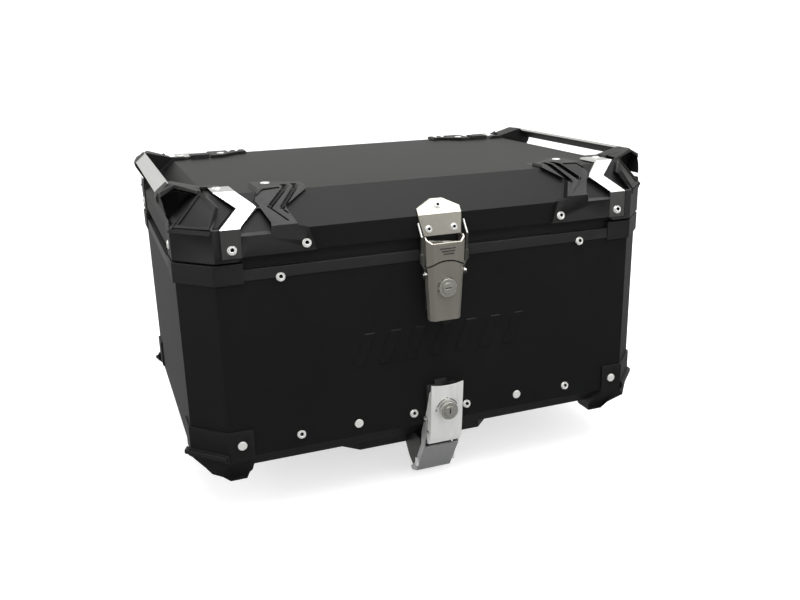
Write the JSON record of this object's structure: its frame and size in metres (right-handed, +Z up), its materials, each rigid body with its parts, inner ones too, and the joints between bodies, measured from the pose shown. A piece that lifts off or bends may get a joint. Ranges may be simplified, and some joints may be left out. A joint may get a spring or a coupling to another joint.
{
  "type": "motorcycle top case",
  "caption": "Hard aluminium motorcycle luggage case with a hinged lid, plastic corner guards, side grab bars, a draw latch and a claw latch on a mounting plate.",
  "frame": {"origin": "centre of the rack bolt pattern, on the plane where the rack spacers rest", "axes": "+X to the right seen from the latch side, +Y towards the hinges, +Z up"},
  "size_m": [0.5286, 0.3875, 0.3406],
  "materials": {
    "powder_coat": "satin textured powder coat",
    "black_plastic": "moulded, fine grain",
    "black_metal": "satin powder coat",
    "frame_plastic": "moulded",
    "seal_rubber": "matt",
    "mat_rubber": "matt, ribbed",
    "strap_aluminium": "satin",
    "bar_aluminium": "satin anodised",
    "fastener_steel": "turned",
    "pin_steel": "bright",
    "latch_steel": "brushed lengthways",
    "claw_steel": "satin",
    "lock_chrome": "polished"
  },
  "bodies": {
    "case": {"case_shell": "powder_coat", "case_rim": "black_metal", "foot_front_right": "black_plastic", "foot_rear_right": "black_plastic", "foot_front_left": "black_plastic", "foot_rear_left": "black_plastic", "case_guard_front_right": "black_plastic", "case_guard_rear_right": "black_plastic", "case_guard_front_left": "black_plastic", "case_guard_rear_left": "black_plastic", "floor_mat": "mat_rubber", "case_screws": "fastener_steel", "case_rivets": "fastener_steel", "case_hinge_leaves": "black_metal", "hinge_pins": "pin_steel", "latch_bracket": "black_metal", "latch_cover": "latch_steel", "latch_pin": "pin_steel", "claw_bracket": "black_metal", "mounting_plate": "black_metal", "rack_spacers": "black_metal", "rear_hooks": "black_metal", "plate_bolts": "fastener_steel"},
    "lid": {"lid_shell": "powder_coat", "lid_frame": "frame_plastic", "lid_seal": "seal_rubber", "lid_corner_front_right": "black_plastic", "lid_corner_rear_right": "black_plastic", "lid_corner_front_left": "black_plastic", "lid_corner_rear_left": "black_plastic", "corner_strap_front_right": "strap_aluminium", "corner_strap_rear_right": "strap_aluminium", "corner_strap_front_left": "strap_aluminium", "corner_strap_rear_left": "strap_aluminium", "grab_bar_right": "bar_aluminium", "grab_bar_left": "bar_aluminium", "lid_screws": "fastener_steel", "lid_rivets": "fastener_steel", "lid_hinge_leaves": "black_metal", "strike_plate": "latch_steel", "strike_screws": "fastener_steel"},
    "handle": {"latch_handle": "latch_steel", "bail_pins": "pin_steel", "upper_lock_barrel": "lock_chrome"},
    "bails": {"latch_bails": "pin_steel"},
    "upper_plug": {"upper_lock_plug": "lock_chrome", "upper_lock_cam": "lock_chrome"},
    "lever": {"claw_lever": "claw_steel", "lever_pin": "pin_steel", "claw_pin": "pin_steel", "lower_lock_barrel": "lock_chrome"},
    "claw": {"claw": "claw_steel"},
    "lower_plug": {"lower_lock_plug": "lock_chrome", "lower_lock_cam": "lock_chrome"}
  },
  "joints": [
    {"name": "lid_hinge", "type": "hinge", "parent": "case", "child": "lid", "pos_m": [0, 0.1815, 0.269], "axis": [-1, 0, 0], "range_deg": [0, 95]},
    {"name": "handle_hinge", "type": "hinge", "parent": "case", "child": "handle", "pos_m": [0, -0.19, 0.244], "axis": [-1, 0, 0], "range_deg": [0, 100]},
    {"name": "bail_hinge", "type": "hinge", "parent": "handle", "child": "bails", "pos_m": [0, -0.189, 0.239], "axis": [-1, 0, 0], "range_deg": [-112, 0]},
    {"name": "upper_lock_turn", "type": "hinge", "parent": "handle", "child": "upper_plug", "pos_m": [0, -0.2, 0.226], "axis": [0, 1, 0], "range_deg": [0, 90]},
    {"name": "lever_hinge", "type": "hinge", "parent": "case", "child": "lever", "pos_m": [0, -0.184, 0.066], "axis": [1, 0, 0], "range_deg": [0, 55]},
    {"name": "claw_hinge", "type": "hinge", "parent": "lever", "child": "claw", "pos_m": [0, -0.1805, 0.079], "axis": [1, 0, 0], "range_deg": [-83, 0]},
    {"name": "lower_lock_turn", "type": "hinge", "parent": "lever", "child": "lower_plug", "pos_m": [0, -0.2, 0.0936], "axis": [0, 1, 0], "range_deg": [0, 90]}
  ],
  "couplings": [
    {"joint": "bail_hinge", "follows": "handle_hinge", "ratio": -1.1},
    {"joint": "claw_hinge", "follows": "lever_hinge", "ratio": -1.5}
  ]
}
